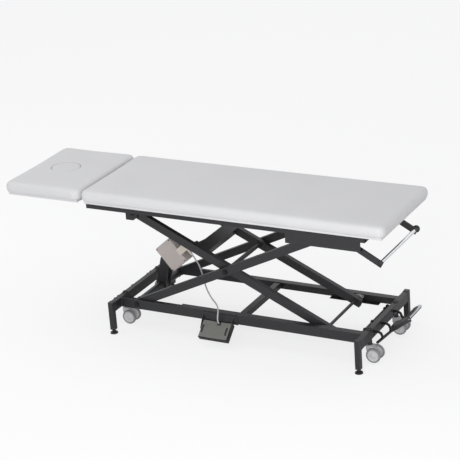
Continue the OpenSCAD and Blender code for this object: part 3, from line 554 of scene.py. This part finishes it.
opening_steps = [(0, -0.10), (0, -0.0067), (0.0004, -0.0042), (0.0015, -0.0022), (0.0034, -0.0005),
                 (0.006, 0.0005), (0.006, 0.05)]
cutter = new_piece("opening", oval_prism("opening", opening_steps))
cut = head_cushion.modifiers.new("face opening", "BOOLEAN")
cut.operation = "DIFFERENCE"
cut.object = cutter
cut.solver = "EXACT"
applied(head_cushion)
bpy.data.objects.remove(cutter)
head_cushion.data.shade_smooth()
head_cushion.data.set_sharp_from_angle(angle=math.radians(50))
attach(head_cushion, "head_section")
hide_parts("head_cushion")

# Face plug: a foam plug of the opening's shape, covered with the same vinyl, pressed in
# from above and lifted out by hand. Its top lies just under the cushion's.
plug_steps = [(-0.0022, -0.0577), (-0.0010, -0.0562), (-0.0010, -0.0087), (-0.0016, -0.0055),
              (-0.0034, -0.0029), (-0.0065, -0.0015), (-0.020, -0.0009), (-0.040, -0.0007)]
face_plug = new_piece("face_plug_cover", oval_prism("face_plug_cover", plug_steps), "face_plug", vinyl)
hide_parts("face_plug")

# Caster wheels: a pair on each caster, grey rubber tyres moulded round pale nylon discs
# with a rounded rim and a raised cap over the axle.
flute_share, fluted_from = 0.035, 0.014


def turned(bm, profile, centre, axis, sides=48, flutes=0):
    """Adds a turned shape from (radius, place along the axis) steps. Flutes wave its outer part."""
    axis = Vector(axis)
    side = axis.orthogonal().normalized()
    other = axis.cross(side)
    rings = []
    for r, along in profile:
        middle = Vector(centre) + axis * along
        turn = [2 * math.pi * k / sides for k in range(sides)] if r > 1e-6 else [0]
        depth = flute_share * r if flutes and r > fluted_from else 0
        rings.append([bm.verts.new(middle + (r + depth * math.cos(flutes * a))
                                   * (side * math.cos(a) + other * math.sin(a))) for a in turn])
    for low, high in zip(rings, rings[1:]):
        for k in range(sides):
            j = (k + 1) % sides
            under = [low[k], low[j]] if len(low) > 1 else [low[0]]
            over = [high[j], high[k]] if len(high) > 1 else [high[0]]
            if len(under) + len(over) > 2:
                bm.faces.new(under + over)


tyre_rubber = finish_of("grey tyre rubber", colour(132, 132, 135), colour(150, 150, 152), 0.6, 1100, 0.35,
                        wear_and_highlight_amount=0.2)
disc_nylon = finish_of("pale wheel nylon", colour(194, 194, 196), colour(208, 208, 210), 0.42, 900, 0.15,
                       wear_and_highlight_amount=0.3)
tyre_steps = [(0.0280, 0.0182), (0.0330, 0.0182), (0.0343, 0.0187), (0.0350, 0.0202), (0.0350, 0.0288),
              (0.0343, 0.0303), (0.0330, 0.0308), (0.0280, 0.0308), (0.0280, 0.0182)]
disc_steps = [(0.0053, 0.0186), (0.0270, 0.0186), (0.0279, 0.0194), (0.0279, 0.0298), (0.0268, 0.0306),
              (0.0252, 0.0300), (0.0240, 0.0286), (0.0225, 0.0281), (0.0125, 0.0281), (0.0112, 0.0288),
              (0.0104, 0.0304), (0.0090, 0.0310), (0.0053, 0.0310), (0.0053, 0.0186)]
cap_steps = [(0, 0.0330), (0.0040, 0.0328), (0.0075, 0.0318), (0.0082, 0.0311), (0, 0.0311)]
for place in ("head_near", "head_far", "foot_near", "foot_far"):
    low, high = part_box("wheels_" + place)
    hub = (low + high) / 2
    parts = {"tyres": ([tyre_steps], tyre_rubber), "wheel_discs": ([disc_steps, cap_steps], disc_nylon)}
    for part, (profiles, finish) in parts.items():
        bm = bmesh.new()
        for way in (1, -1):
            for steps in profiles:
                turned(bm, steps, hub, (0, way, 0), 64)
        name = part + "_" + place
        piece = new_piece(name, finished(bm, name), "wheels_" + place, finish)
        if part == "tyres":
            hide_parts("wheels_" + place)

# Stem caps: black rubber caps on the end tubes over the tops of the caster stems. They
# are hollow, so that the stems move inside them.
head_stem_x, foot_stem_x, stem_y = -0.4365, 0.8605, 0.158
tube_top = 0.161
stem_cap = [(0.0130, 0.0001), (0.0126, 0.0030), (0.0108, 0.0058), (0.0070, 0.0072), (0, 0.0074), (0, 0.0056),
            (0.0074, 0.0054), (0.0084, 0.0044), (0.0086, 0.0001), (0.0130, 0.0001)]
bm = bmesh.new()
for x in (head_stem_x, foot_stem_x):
    for y in (-stem_y, stem_y):
        turned(bm, stem_cap, (x, y, tube_top), (0, 0, 1), 40)
new_piece("stem_caps", finished(bm, "stem_caps"), "base", moulded_black)

# Stem sleeves: short lengths of black plastic tube, pressed on each caster stem between
# the caster and its guide, and moving with the stem.
sleeve = [(0.0071, 0.0845), (0.0105, 0.0845), (0.0110, 0.0852), (0.0110, 0.1035), (0.0104, 0.1045),
          (0.0071, 0.1045), (0.0071, 0.0845)]
for name, x in (("head_stems", head_stem_x), ("foot_stems", foot_stem_x)):
    bm = bmesh.new()
    for y in (-stem_y, stem_y):
        turned(bm, sleeve, (x, y, 0), (0, 0, 1), 40)
    new_piece("sleeves_" + name, finished(bm, "sleeves_" + name), name, moulded_black)

# Roll holder's knob and cap: black moulded plastic, pressed on the ends of the rod outside
# the two arms. The knob is fluted for the fingers.
bm = bmesh.new()
roll_low, roll_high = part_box("roll_rod")
roll_at = (roll_low + roll_high) / 2
knob_steps = [(0, 0.2120), (0.0105, 0.2120), (0.0118, 0.2132), (0.0122, 0.2150), (0.0160, 0.2168),
              (0.0170, 0.2185), (0.0171, 0.2255), (0.0165, 0.2285), (0.0148, 0.2302), (0.0120, 0.2308),
              (0, 0.2310)]
end_cap_steps = [(0, 0.2091), (0.0122, 0.2091), (0.0125, 0.2100), (0.0122, 0.2112), (0.0108, 0.2121),
                 (0, 0.2125)]
turned(bm, knob_steps, (roll_at.x, 0, roll_at.z), (0, 1, 0), 96, flutes=12)
turned(bm, end_cap_steps, (roll_at.x, 0, roll_at.z), (0, -1, 0), 48)
roll_grips = new_piece("roll_grips", finished(bm, "roll_grips"), "roll_rod", moulded_black)
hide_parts("roll_knob")

# Foot switch plate: a ribbed grey plate on the rocker, a little raised towards its ends so
# that it clears the case as it rocks, with a grip slot near each end. The slots are not cut:
# each is a thin black slab on the plate, painted shade for the slot's depth.
switch_x, switch_y, switch_z = 0.1125, -0.227, 0.112
switch_tilt = math.radians(40)
plate_half, plate_t, plate_gap, plate_rise = 0.0745, 0.0026, 0.0011, 0.056
rib_pitch, rib_h = 0.006, 0.0005


def on_switch(x, y, z):
    """A point on the foot switch: along the table, down its slope, out of its face."""
    return Vector((switch_x + x, switch_y - y * math.cos(switch_tilt) - z * math.sin(switch_tilt),
                   switch_z - y * math.sin(switch_tilt) + z * math.cos(switch_tilt)))


def slab(bm, spot, xs, ys, under, over):
    """Adds a closed slab over a grid of places, with its lower and upper height at each place."""
    low = [[bm.verts.new(spot(x, y, under(x, y))) for y in ys] for x in xs]
    top = [[bm.verts.new(spot(x, y, over(x, y))) for y in ys] for x in xs]
    m, n = len(xs) - 1, len(ys) - 1
    for i in range(m):
        for j in range(n):
            bm.faces.new((low[i][j], low[i + 1][j], low[i + 1][j + 1], low[i][j + 1]))
            bm.faces.new((top[i][j], top[i][j + 1], top[i + 1][j + 1], top[i + 1][j]))
    edge = ([(i, 0) for i in range(m)] + [(m, j) for j in range(n)] + [(i, n) for i in range(m, 0, -1)]
            + [(0, j) for j in range(n, 0, -1)])
    for (i, j), (k, l) in zip(edge, edge[1:] + edge[:1]):
        bm.faces.new((low[i][j], low[k][l], top[k][l], top[i][j]))


def plate_under(x, y):
    """The height of the plate's underside over the rocker, higher towards both ends."""
    return plate_gap + abs(x) * plate_rise


def plate_over(x, y):
    """The height of the plate's top, with its ribs and its rounded ends."""
    ribbed = 0.022 < y < 0.080 and abs(x) < 0.058
    rib = rib_h * (1 + math.cos(2 * math.pi * y / rib_pitch)) / 2 if ribbed else 0
    return plate_under(x, y) + plate_t + rib - 0.0008 * (abs(x) / plate_half) ** 10


def slot_shade_under(x, y):
    """The height of the underside of a grip slot's painted shade, inside the plate."""
    return plate_under(x, y) + 0.0020


def slot_shade_over(x, y):
    """The height of the top of a grip slot's painted shade, just over the plate's ribs."""
    return plate_under(x, y) + 0.0031


bm = bmesh.new()
plate_x = [-0.0745, -0.0738, -0.066, -0.0585, -0.0579, -0.04, -0.02, 0.0, 0.02, 0.04, 0.0579, 0.0585, 0.066,
           0.0738, 0.0745]
slab(bm, on_switch, plate_x, [0.0185 + 0.00075 * i for i in range(93)], plate_under, plate_over)
for lip_x in ([-0.0745, -0.0738, -0.05, -0.02, 0.0015], [0.0195, 0.04, 0.06, 0.0738, 0.0745]):
    slab(bm, on_switch, lip_x, [0.0015, 0.0022, 0.010, 0.0184], plate_under, plate_over)
switch_plate = new_piece("switch_plate", finished(bm, "switch_plate"), "switch_pads", pad_grey)
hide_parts("switch_pads")
# Painted shade: a thin black slab over the plate at each grip slot, dark as the slot's depth would be.
bm = bmesh.new()
for x in (-0.066, 0.060):
    slab(bm, on_switch, [x - 0.0050, x + 0.0050], [0.026, 0.066], slot_shade_under, slot_shade_over)
new_piece("switch_slots", finished(bm, "switch_slots"), "switch_pads", moulded_black)

# Control box shell: two moulded halves with rounded edges, a seam between them and a low
# panel on the near face.
box_x, box_z = -0.218, 0.345
box_turn = math.radians(40)
shell_steps = [(0.0140, -0.0592), (0.0132, -0.0600), (0.0055, -0.0600), (0.0026, -0.0594), (0.0008, -0.0576),
               (0, -0.0548), (0, -0.0442), (0.0014, -0.0438), (0.0014, -0.0426), (0, -0.0422), (0, 0.0048),
               (0.0008, 0.0076), (0.0026, 0.0094), (0.0055, 0.0100)]


def on_box(x, y, z):
    """A point on the control box: across it, along the table's width, up its longer side."""
    return Vector((box_x + x * math.cos(box_turn) - z * math.sin(box_turn), y,
                   box_z + x * math.sin(box_turn) + z * math.cos(box_turn)))


def stacked(bm, spot, half, corner, steps):
    """Adds a closed block of rounded outlines, from (inset, level) steps from one face to the other."""
    loops = []
    for inset, level in steps:
        a, b, r = half[0] - inset, half[1] - inset, max(corner - inset, 0.002)
        points = []
        for k, (cx, cz) in enumerate(((a - r, b - r), (r - a, b - r), (r - a, r - b), (a - r, r - b))):
            points += [(cx + r * math.cos(t), cz + r * math.sin(t))
                       for t in (math.radians(90 * k + 15 * i) for i in range(7))]
        loops.append([bm.verts.new(spot(x, level, z)) for x, z in points])
    close_round(bm, loops)


bm = bmesh.new()
stacked(bm, on_box, half=(0.054, 0.0705), corner=0.009, steps=shell_steps)
box_shell = new_piece("control_box_shell", finished(bm, "control_box_shell"), "outer_arms", box_beige)
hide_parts("control_box")

# Pedal: a bright round-ended tread bar with a black rubber edge, held in a moulded black
# block on the bent bar. The bar and the block are a deeper black than the frame.
deep_black = finish_of("deep black plastic and paint", colour(13, 13, 15), colour(38, 38, 40), 0.38, 1300,
                       0.25, wear_and_highlight_amount=0.25)
nodes["pedal_lever"].material_slots[0].material = deep_black


def on_tread(x, z, y):
    """A point on the tread bar: across it from its middle, up from the floor, along it."""
    return Vector((0.948 + x, 0.1605 + y, z))


tread_steps = [(0.0012, 0.1160), (0.0003, 0.1163), (0, 0.1169), (0, 0.1181), (0.0004, 0.1188),
               (0.0016, 0.1191)]
bm = bmesh.new()
stacked(bm, on_tread, half=(0.0105, 0.0885), corner=0.0100, steps=tread_steps)
tread_bar = new_piece("tread_bar", finished(bm, "tread_bar"), "pedal", bright_steel)
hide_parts("pedal_tread")


def rubber_edge(x, z, y):
    """A point on the rubber at the tread's inner edge: across, up, along. Its free end falls away."""
    fall = max(0, min(1, (y - 0.018) / 0.045))
    return Vector((0.9415 + x, 0.163 + y, 0.1192 + z * (1 - 0.85 * fall * fall)))


rubber_steps = [(0, 0), (0, 0.0058), (0.0006, 0.0070), (0.0018, 0.0076)]
rib_low, rib_top = 0.0070, 0.0086
bm = bmesh.new()
stacked(bm, rubber_edge, half=(0.0048, 0.064), corner=0.0046, steps=rubber_steps)
for k in range(11):
    y = -0.055 + 0.009 * k
    slab(bm, lambda across, along, up: rubber_edge(across, up, along), [-0.0040, 0.0040], [y, y + 0.0035],
         lambda across, along: rib_low, lambda across, along: rib_top)
new_piece("tread_rubber", finished(bm, "tread_rubber"), "pedal", deep_black)
block_from, block_to = Vector((0.9125, -0.036, 0.1115)), Vector((0.9475, 0.099, 0.1115))
block_way = (block_to - block_from).normalized()
block_side = Vector((block_way.y, -block_way.x, 0))
block_l = (block_to - block_from).length
block_steps = [(0.0085, 0), (0.0070, 0.0020), (0.0020, 0.0230), (0.0003, 0.0300), (0, 0.0340),
               (0, block_l - 0.0030), (0.0010, block_l - 0.0010), (0.0035, block_l)]


def on_block(x, along, z):
    """A point on the block that holds the tread: across it, along it, up from its middle."""
    return block_from + block_way * along + block_side * x + Vector((0, 0, z))


bm = bmesh.new()
stacked(bm, on_block, half=(0.0130, 0.0125), corner=0.0050, steps=block_steps)
new_piece("pedal_block", finished(bm, "pedal_block"), "pedal", deep_black)

# Welds: rippled beads of steel where the base's tubes meet, and round the torsion tube
# where it meets the arms. They are laid by hand and painted over with the frame.
bead_r, bead_step, ripple, ripple_turn = 0.0017, 0.0012, 0.2, 1.9


def beads(name, lines, body):
    """Painted weld beads along straight lines, as one piece."""
    bm = bmesh.new()
    for a, b in lines:
        steps = max(8, round((Vector(b) - Vector(a)).length / bead_step))
        line = [Vector(a).lerp(Vector(b), i / steps) for i in range(steps + 1)]
        bead = round_bar("bead", line, lambda t: bead_r * (1 + ripple * math.sin(t * steps * ripple_turn)), 8)
        bm.from_mesh(bead)
        bpy.data.meshes.remove(bead)
    return new_piece(name, finished(bm, name), body, powder_black)


leg_y, rail_y = 0.2797, 0.2222
tube_low, over_tube, under_tube = 0.113, 0.1611, 0.1129
base_lines = []
for y in (-leg_y, leg_y):
    for x0, x1 in ((-0.449, -0.424), (0.848, 0.873)):
        base_lines += [((x0, y, over_tube), (x1, y, over_tube)), ((x0, y, under_tube), (x1, y, under_tube)),
                       ((x0, y, tube_low), (x0, y, tube_top)), ((x1, y, tube_low), (x1, y, tube_top))]
for y in (-rail_y, rail_y):
    base_lines += [((x, y, tube_low), (x, y, tube_top)) for x in (-0.4238, 0.8478)]
beads("base_welds", base_lines, "base")
pivot_x, lower_pivot_z = -0.336, 0.137
ring_steps = [(0.0208, 0.1776), (0.0216, 0.1782), (0.0236, 0.1800), (0.0242, 0.1819), (0.0208, 0.1819),
              (0.0208, 0.1776)]
bm = bmesh.new()
for way in (-1, 1):
    turned(bm, ring_steps, (pivot_x, 0, lower_pivot_z), (0, way, 0), 192, flutes=48)
new_piece("torsion_welds", finished(bm, "torsion_welds"), "outer_arms", powder_black)

# Screws, bolts and staples: blackened steel but for the bright staples, one make of each,
# set at their places by one set of nodes and turned by chance, as a hand leaves them.


def set_out():
    """The nodes that put a copy of one thing at each point, turned by chance about its own axis."""
    tree = bpy.data.node_groups.new("set out", "GeometryNodeTree")
    face = tree.interface
    face.new_socket("Points", in_out="INPUT", socket_type="NodeSocketGeometry")
    face.new_socket("Thing", in_out="INPUT", socket_type="NodeSocketObject")
    face.new_socket("Facing", in_out="INPUT", socket_type="NodeSocketVector")
    face.new_socket("Spin", in_out="INPUT", socket_type="NodeSocketFloat")
    face.new_socket("Seed", in_out="INPUT", socket_type="NodeSocketInt")
    face.new_socket("Finish", in_out="INPUT", socket_type="NodeSocketMaterial")
    face.new_socket("Set", in_out="OUTPUT", socket_type="NodeSocketGeometry")
    start, end = tree.nodes.new("NodeGroupInput"), tree.nodes.new("NodeGroupOutput")
    info = tree.nodes.new("GeometryNodeObjectInfo")
    chance = tree.nodes.new("FunctionNodeRandomValue")
    axis = tree.nodes.new("ShaderNodeCombineXYZ")
    spin = tree.nodes.new("FunctionNodeEulerToRotation")
    facing = tree.nodes.new("FunctionNodeEulerToRotation")
    both = tree.nodes.new("FunctionNodeRotateRotation")
    both.rotation_space = "LOCAL"
    put = tree.nodes.new("GeometryNodeInstanceOnPoints")
    solid = tree.nodes.new("GeometryNodeRealizeInstances")
    dress = tree.nodes.new("GeometryNodeSetMaterial")
    link = tree.links.new
    link(start.outputs["Points"], put.inputs["Points"])
    link(start.outputs["Thing"], info.inputs["Object"])
    link(info.outputs["Geometry"], put.inputs["Instance"])
    link(start.outputs["Spin"], chance.inputs["Max"])
    link(start.outputs["Seed"], chance.inputs["Seed"])
    link(chance.outputs["Value"], axis.inputs["Z"])
    link(axis.outputs[0], spin.inputs[0])
    link(start.outputs["Facing"], facing.inputs[0])
    link(facing.outputs[0], both.inputs["Rotation"])
    link(spin.outputs[0], both.inputs["Rotate By"])
    link(both.outputs[0], put.inputs["Rotation"])
    link(put.outputs["Instances"], solid.inputs["Geometry"])
    link(solid.outputs["Geometry"], dress.inputs["Geometry"])
    link(start.outputs["Finish"], dress.inputs["Material"])
    link(dress.outputs["Geometry"], end.inputs["Set"])
    return tree


set_out_nodes = set_out()


def set_of(name, thing, points, facing, body, finish, spin=2 * math.pi, seed=7):
    """One piece made of copies of a thing at these points, facing along these turns."""
    mesh = bpy.data.meshes.new(name)
    mesh.from_pydata(points, [], [])
    piece = new_piece(name, mesh)
    layout = piece.modifiers.new("set out", "NODES")
    layout.node_group = set_out_nodes
    sockets = {item.name: item.identifier for item in set_out_nodes.interface.items_tree
               if item.in_out == "INPUT"}
    for label, value in (("Thing", thing), ("Facing", facing), ("Spin", spin), ("Seed", seed),
                         ("Finish", finish)):
        layout[sockets[label]] = value
    piece.update_tag()
    applied(piece)
    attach(piece, body)
    return piece


def head_of(name, round_steps, flat_steps):
    """A head to copy: a turned washer or dome, with six flats on it."""
    bm = bmesh.new()
    turned(bm, round_steps, (0, 0, 0), (0, 0, 1), 32)
    turned(bm, flat_steps, (0, 0, 0), (0, 0, 1), 6)
    return new_piece(name, finished(bm, name))


to_near = (math.radians(90), 0, 0)
to_far = (math.radians(-90), 0, 0)
to_floor = (math.radians(180), 0, 0)
washer_steps = [(0, 0), (0.0130, 0), (0.0134, 0.0004), (0.0134, 0.0018), (0.0130, 0.0022), (0, 0.0022)]
hexagon_steps = [(0, 0.0020), (0.0105, 0.0020), (0.0108, 0.0032), (0.0108, 0.0072), (0.0098, 0.0084),
                 (0, 0.0086)]
bolt = head_of("bolt", washer_steps, hexagon_steps)
dome_steps = [(0, 0), (0.0032, 0), (0.0034, 0.0003), (0.0032, 0.0012), (0.0020, 0.0018), (0, 0.0020)]
drive_steps = [(0, 0.0010), (0.0011, 0.0010), (0.0011, 0.0021), (0, 0.0021)]
screw = head_of("screw", dome_steps, drive_steps)
top_pivot_z, crossing_x, crossing_z = 0.59766, 0.1579, 0.3673
lower_out, top_out, crossing_out = 0.222, 0.185, 0.210
zinc_black = finish_of("blackened bolt steel", colour(34, 34, 37), colour(84, 84, 88), 0.38, 1200, 0.12,
                       metal=0.5, wear_and_highlight_amount=0.4, wear_and_highlight_radius=0.0006)
for side, y, facing in (("near", -1, to_near), ("far", 1, to_far)):
    lower_pivot = (pivot_x, y * lower_out, lower_pivot_z)
    top_pivot = (pivot_x, y * top_out, top_pivot_z)
    crossing = (crossing_x, y * crossing_out, crossing_z)
    set_of("pivot_bolts_" + side, bolt, [lower_pivot], facing, "base", zinc_black)
    set_of("top_pivot_bolts_" + side, bolt, [top_pivot], facing, "top_frame", zinc_black)
    set_of("crossing_bolts_" + side, bolt, [crossing], facing, "inner_arms", zinc_black)
box_near_face = -0.0600
box_screws = [tuple(on_box(x, box_near_face, z)) for x in (-0.046, 0.046) for z in (-0.0625, 0.0625)]
set_of("box_screws", screw, box_screws, to_near, "outer_arms", zinc_black)
hanger_screws = [(0.2060, -0.2245, 0.1215), (0.2060, -0.2245, 0.1440)]
set_of("hanger_screws", screw, hanger_screws, to_near, "base", zinc_black)
staple_line = [Vector((-0.005, 0, 0.0004)), Vector((0.005, 0, 0.0004))]
staple_gap, staple_y = 0.0445, 0.2555
staple = new_piece("staple", round_bar("staple", staple_line, 0.00055, 6))
staple_steel = finish_of("staple wire", colour(150, 151, 154), colour(180, 181, 184), 0.35, 1500, 0.05,
                         metal=1.0, wear_and_highlight_amount=0.2)
for name, body, x0, count in (("main_staples", "top_frame", -0.528, 34),
                              ("head_staples", "head_section", -0.968, 9)):
    under = [(x0 + staple_gap * i, y, board_low) for i in range(count) for y in (-staple_y, staple_y)]
    set_of(name, staple, under, to_floor, body, staple_steel, spin=0.3, seed=3)
for thing in (bolt, screw, staple):
    bpy.data.objects.remove(thing)
